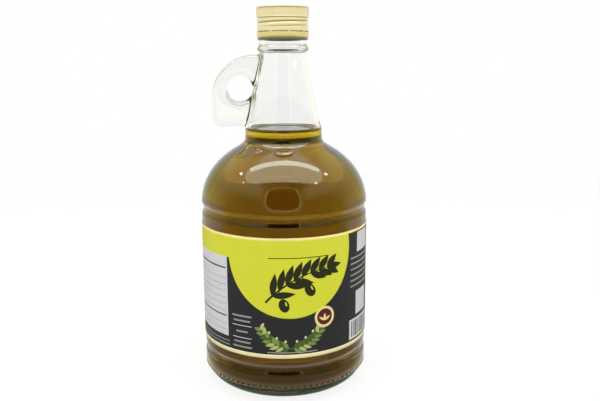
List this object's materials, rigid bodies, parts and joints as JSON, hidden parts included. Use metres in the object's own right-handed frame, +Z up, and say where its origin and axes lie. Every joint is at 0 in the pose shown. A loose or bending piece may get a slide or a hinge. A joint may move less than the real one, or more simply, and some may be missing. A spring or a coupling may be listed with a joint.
{
  "type": "olive oil bottle",
  "caption": "Clear glass jug bottle of olive oil with a finger ring at the tapered neck, a gold screw cap with tamper band and a dark wrap-round paper label.",
  "frame": {"origin": "on the bottle's axis, on the surface that it stands on", "axes": "+Z up along the bottle's axis, -X towards the finger ring, -Y towards the front of the label"},
  "size_m": [0.1186, 0.1186, 0.2642],
  "materials": {
    "clear_glass": "polished",
    "oil": "polished",
    "label_paper": "satin",
    "gold_aluminium": "satin"
  },
  "bodies": {
    "root": {"glass_bottle": "clear_glass", "oil": "oil", "label": "label_paper", "cap": "gold_aluminium"}
  },
  "joints": []
}
